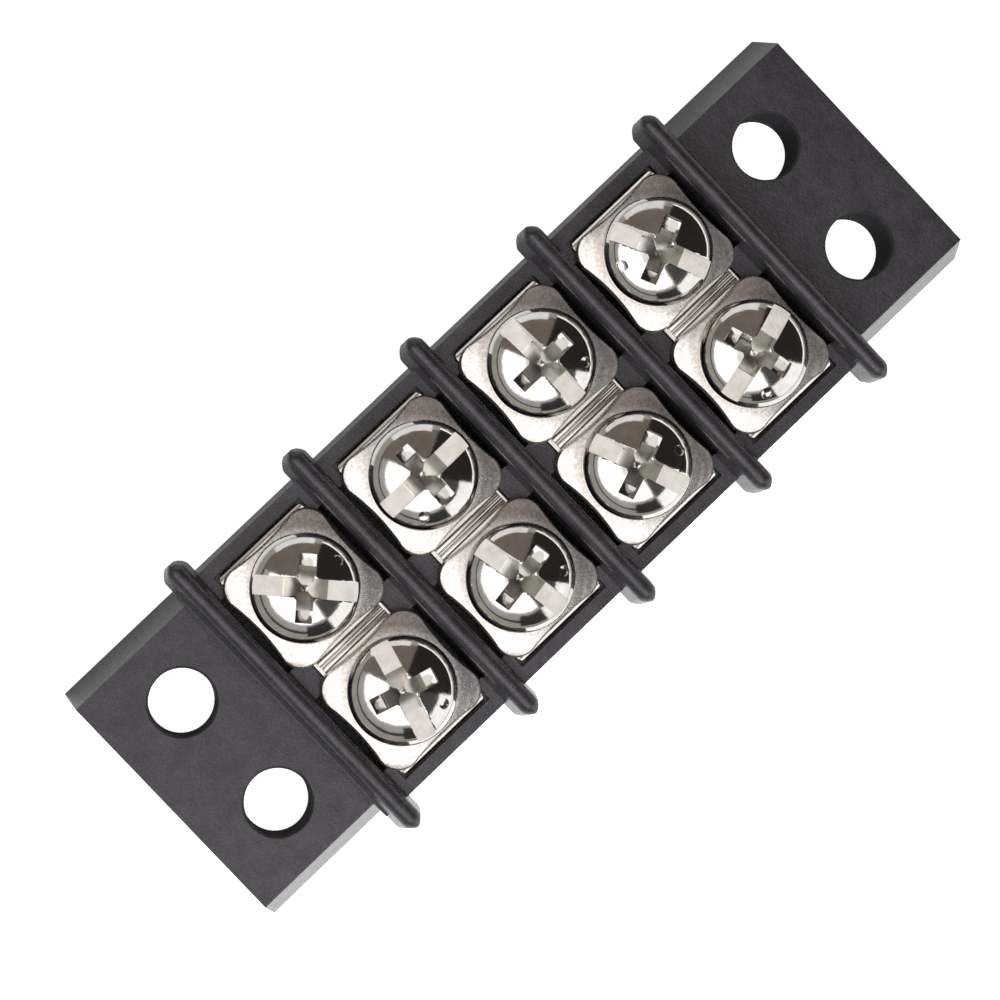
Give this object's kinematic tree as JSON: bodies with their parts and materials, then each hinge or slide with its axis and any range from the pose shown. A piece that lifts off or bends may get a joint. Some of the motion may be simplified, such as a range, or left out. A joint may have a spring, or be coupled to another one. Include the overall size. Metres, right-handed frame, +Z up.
{
  "type": "barrier terminal strip",
  "caption": "Black double-row barrier terminal strip with captive square washers, combination-head screws and a drilled flange at each end.",
  "frame": {"origin": "middle of the underside of the moulding", "axes": "+X along the strip, +Y across it towards the rear row, +Z up through the screws"},
  "size_m": [0.0576, 0.0208, 0.0105],
  "materials": {
    "moulding": "black thermoset moulding, satin",
    "terminal_plate": "bright nickel plate",
    "washer": "bright nickel plate",
    "screw": "bright nickel plate"
  },
  "bodies": {
    "root": {"moulded_base": "moulding", "terminal_plate_1": "terminal_plate", "terminal_plate_2": "terminal_plate", "terminal_plate_3": "terminal_plate", "terminal_plate_4": "terminal_plate"},
    "washer_rear_1": {"washer_rear_1": "washer"},
    "screw_rear_1": {"screw_rear_1": "screw"},
    "washer_rear_2": {"washer_rear_2": "washer"},
    "screw_rear_2": {"screw_rear_2": "screw"},
    "washer_rear_3": {"washer_rear_3": "washer"},
    "screw_rear_3": {"screw_rear_3": "screw"},
    "washer_rear_4": {"washer_rear_4": "washer"},
    "screw_rear_4": {"screw_rear_4": "screw"},
    "washer_front_1": {"washer_front_1": "washer"},
    "screw_front_1": {"screw_front_1": "screw"},
    "washer_front_2": {"washer_front_2": "washer"},
    "screw_front_2": {"screw_front_2": "screw"},
    "washer_front_3": {"washer_front_3": "washer"},
    "screw_front_3": {"screw_front_3": "screw"},
    "washer_front_4": {"washer_front_4": "washer"},
    "screw_front_4": {"screw_front_4": "screw"}
  },
  "joints": [
    {"name": "lift_rear_1", "type": "slide", "parent": "root", "child": "washer_rear_1", "axis": [0, 0, 1], "range_m": [0, 0.0024]},
    {"name": "turn_rear_1", "type": "hinge", "parent": "washer_rear_1", "child": "screw_rear_1", "pos_m": [-0.01425, 0.0041, 0.0073], "axis": [0, 0, 1], "range_deg": [0, 1440]},
    {"name": "lift_rear_2", "type": "slide", "parent": "root", "child": "washer_rear_2", "axis": [0, 0, 1], "range_m": [0, 0.0024]},
    {"name": "turn_rear_2", "type": "hinge", "parent": "washer_rear_2", "child": "screw_rear_2", "pos_m": [-0.00475, 0.0041, 0.0073], "axis": [0, 0, 1], "range_deg": [0, 1440]},
    {"name": "lift_rear_3", "type": "slide", "parent": "root", "child": "washer_rear_3", "axis": [0, 0, 1], "range_m": [0, 0.0024]},
    {"name": "turn_rear_3", "type": "hinge", "parent": "washer_rear_3", "child": "screw_rear_3", "pos_m": [0.00475, 0.0041, 0.0073], "axis": [0, 0, 1], "range_deg": [0, 1440]},
    {"name": "lift_rear_4", "type": "slide", "parent": "root", "child": "washer_rear_4", "axis": [0, 0, 1], "range_m": [0, 0.0024]},
    {"name": "turn_rear_4", "type": "hinge", "parent": "washer_rear_4", "child": "screw_rear_4", "pos_m": [0.01425, 0.0041, 0.0073], "axis": [0, 0, 1], "range_deg": [0, 1440]},
    {"name": "lift_front_1", "type": "slide", "parent": "root", "child": "washer_front_1", "axis": [0, 0, 1], "range_m": [0, 0.0024]},
    {"name": "turn_front_1", "type": "hinge", "parent": "washer_front_1", "child": "screw_front_1", "pos_m": [-0.01425, -0.0041, 0.0073], "axis": [0, 0, 1], "range_deg": [0, 1440]},
    {"name": "lift_front_2", "type": "slide", "parent": "root", "child": "washer_front_2", "axis": [0, 0, 1], "range_m": [0, 0.0024]},
    {"name": "turn_front_2", "type": "hinge", "parent": "washer_front_2", "child": "screw_front_2", "pos_m": [-0.00475, -0.0041, 0.0073], "axis": [0, 0, 1], "range_deg": [0, 1440]},
    {"name": "lift_front_3", "type": "slide", "parent": "root", "child": "washer_front_3", "axis": [0, 0, 1], "range_m": [0, 0.0024]},
    {"name": "turn_front_3", "type": "hinge", "parent": "washer_front_3", "child": "screw_front_3", "pos_m": [0.00475, -0.0041, 0.0073], "axis": [0, 0, 1], "range_deg": [0, 1440]},
    {"name": "lift_front_4", "type": "slide", "parent": "root", "child": "washer_front_4", "axis": [0, 0, 1], "range_m": [0, 0.0024]},
    {"name": "turn_front_4", "type": "hinge", "parent": "washer_front_4", "child": "screw_front_4", "pos_m": [0.01425, -0.0041, 0.0073], "axis": [0, 0, 1], "range_deg": [0, 1440]}
  ],
  "couplings": [
    {"joint": "turn_rear_1", "follows": "lift_rear_1", "rad_per_m": 10472},
    {"joint": "turn_rear_2", "follows": "lift_rear_2", "rad_per_m": 10472},
    {"joint": "turn_rear_3", "follows": "lift_rear_3", "rad_per_m": 10472},
    {"joint": "turn_rear_4", "follows": "lift_rear_4", "rad_per_m": 10472},
    {"joint": "turn_front_1", "follows": "lift_front_1", "rad_per_m": 10472},
    {"joint": "turn_front_2", "follows": "lift_front_2", "rad_per_m": 10472},
    {"joint": "turn_front_3", "follows": "lift_front_3", "rad_per_m": 10472},
    {"joint": "turn_front_4", "follows": "lift_front_4", "rad_per_m": 10472}
  ]
}
